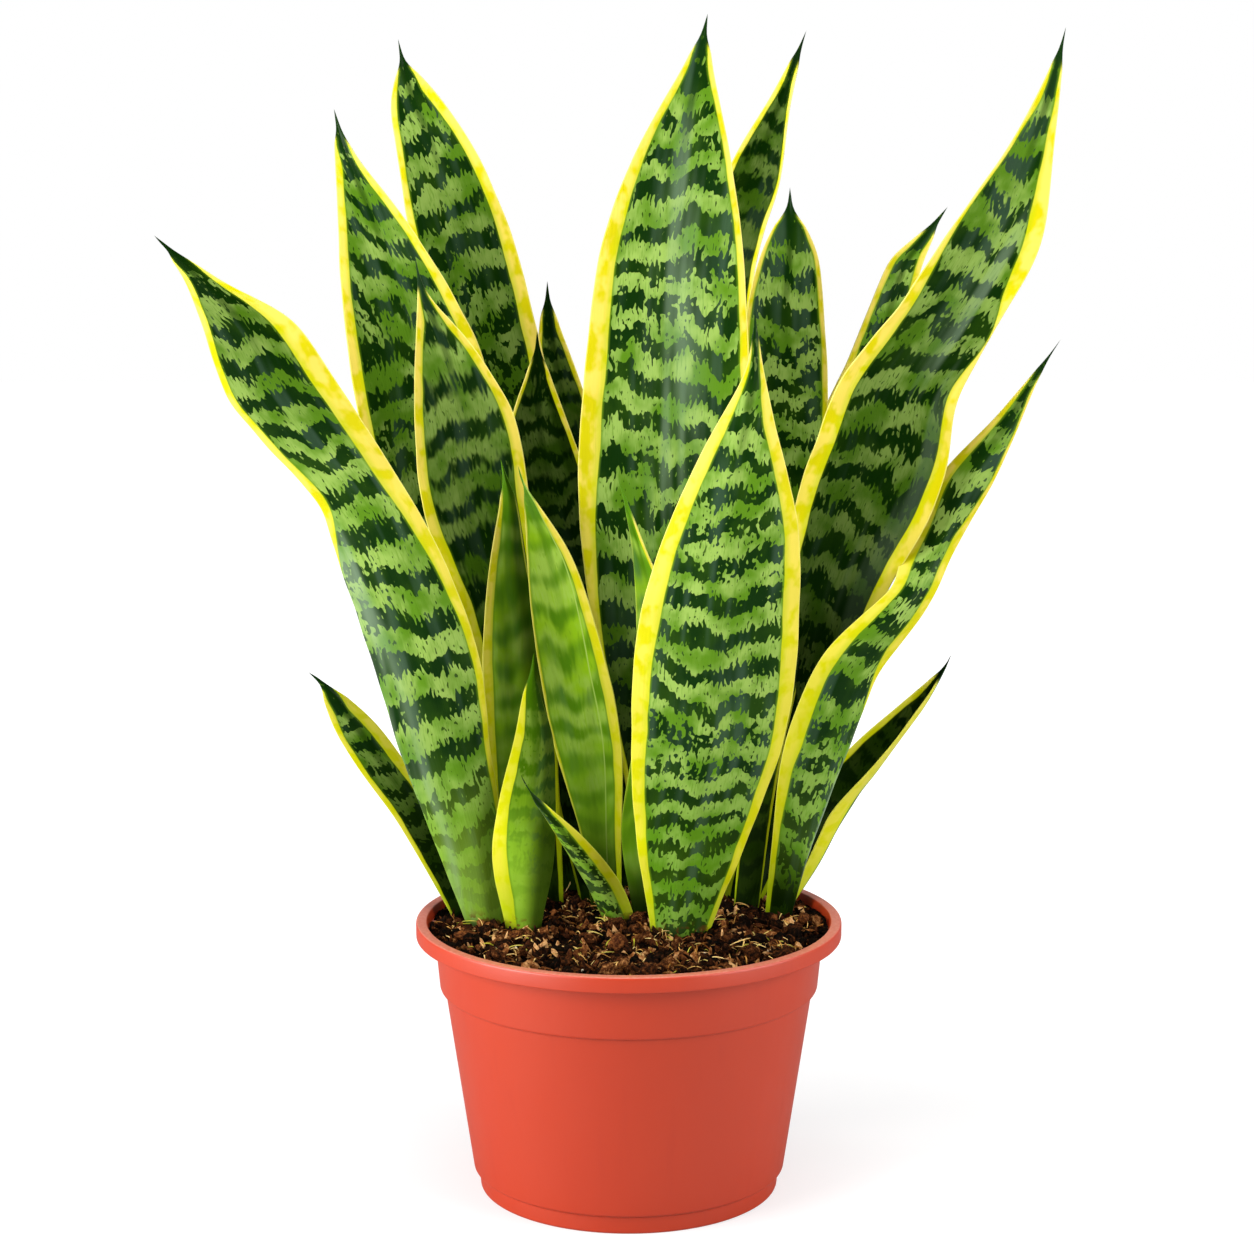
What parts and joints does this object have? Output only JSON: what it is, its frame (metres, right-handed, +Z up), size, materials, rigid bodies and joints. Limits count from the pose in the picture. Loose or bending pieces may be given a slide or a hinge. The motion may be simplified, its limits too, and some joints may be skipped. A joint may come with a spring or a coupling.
{
  "type": "potted snake plant",
  "caption": "Potted snake plant: upright sword-shaped leaves, banded green with yellow margins, growing from bark soil in a round, tapered, terracotta-coloured plastic nursery pot.",
  "frame": {"origin": "middle of the pot's flat underside, where it stands on the floor", "axes": "+Z up along the pot's axis, +X to the right and -Y towards the viewer in the front view"},
  "size_m": [0.345, 0.191, 0.464],
  "materials": {
    "pot_plastic": "satin moulded terracotta-coloured plastic",
    "leaf": "waxy semi-gloss leaf, dark and light green cross bands, yellow margins",
    "young_leaf": "waxy semi-gloss young leaf, bright green with soft bands, yellow margins",
    "soil": "loose crumbly potting mix of bark and fibre",
    "bark": "rough dry bark piece"
  },
  "bodies": {
    "root": {"pot": "pot_plastic", "soil": "soil", "leaf_front_center": "leaf", "leaf_center_tall": "leaf", "leaf_back_right": "leaf", "leaf_behind_right": "leaf", "leaf_right_tall": "leaf", "leaf_behind_right_tall": "leaf", "leaf_right_leaning": "leaf", "leaf_right_hidden": "leaf", "leaf_right_low": "leaf", "leaf_left_low": "leaf", "leaf_far_left": "leaf", "leaf_left_tall": "leaf", "leaf_left_middle": "leaf", "leaf_back_left_tall": "leaf", "leaf_back_small": "leaf", "leaf_middle_dark": "leaf", "leaf_front_small": "leaf", "leaf_young_left": "young_leaf", "leaf_young_center": "young_leaf", "leaf_front_left_small": "young_leaf", "leaf_behind_front": "young_leaf", "bark_nugget_front": "bark", "bark_chip_front": "bark", "bark_chip_left": "bark", "bark_chip_mid_left": "bark", "bark_chip_right": "bark"}
  },
  "joints": []
}
